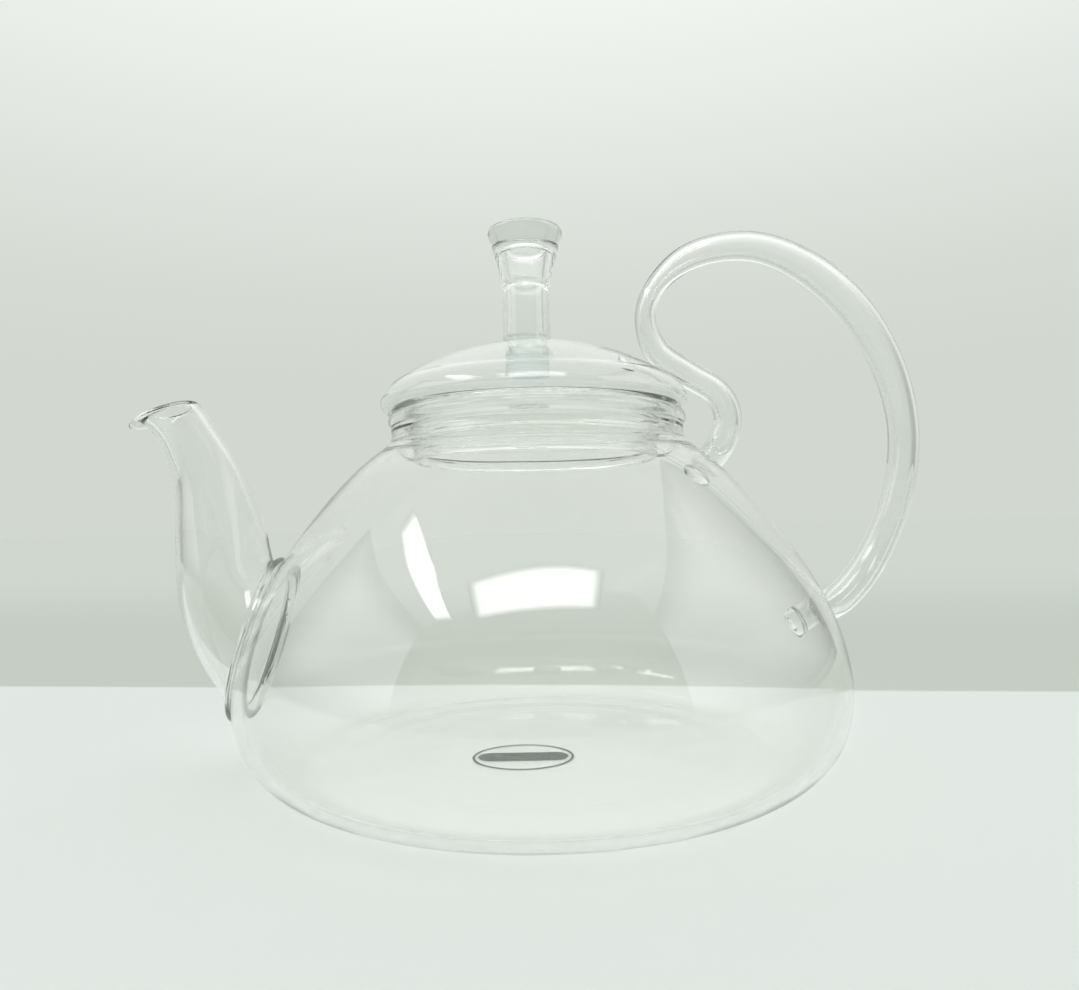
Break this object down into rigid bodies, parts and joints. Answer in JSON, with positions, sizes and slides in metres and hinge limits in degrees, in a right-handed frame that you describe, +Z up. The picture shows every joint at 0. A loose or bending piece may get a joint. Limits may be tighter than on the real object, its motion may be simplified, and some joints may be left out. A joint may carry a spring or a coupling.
{
  "type": "glass teapot",
  "caption": "Squat blown glass teapot with an S-shaped spout, a hollow loop handle and a domed lid with a flared knob that tips open in the neck.",
  "frame": {"origin": "on the pot's axis, on the flat underside of the base", "axes": "+Z up along the pot's axis, -X towards the spout, +X towards the handle"},
  "size_m": [0.1984, 0.1434, 0.1323],
  "materials": {
    "blown_glass": "clear heat-proof glass, fire-polished",
    "tube_glass": "clear drawn glass tube, bent in the flame",
    "thick_glass": "clear glass where it is thick or welded, faintly green",
    "mark_print": "fired-on grey print"
  },
  "bodies": {
    "pot": {"bowl": "blown_glass", "neck_collar": "blown_glass", "spout": "blown_glass", "spout_seal": "thick_glass", "handle": "tube_glass", "handle_top_seal": "thick_glass", "handle_bottom_seal": "thick_glass", "base_mark": "mark_print"},
    "lid": {"lid_dome": "blown_glass", "lid_rim": "thick_glass", "lid_flange": "blown_glass", "knob_plug": "thick_glass", "knob_stem": "tube_glass", "knob_cap": "thick_glass"}
  },
  "joints": [
    {"name": "lid_tilt", "type": "hinge", "parent": "pot", "child": "lid", "pos_m": [0.0348, 0, 0.0841], "axis": [0, 1, 0], "range_deg": [0, 11]}
  ]
}
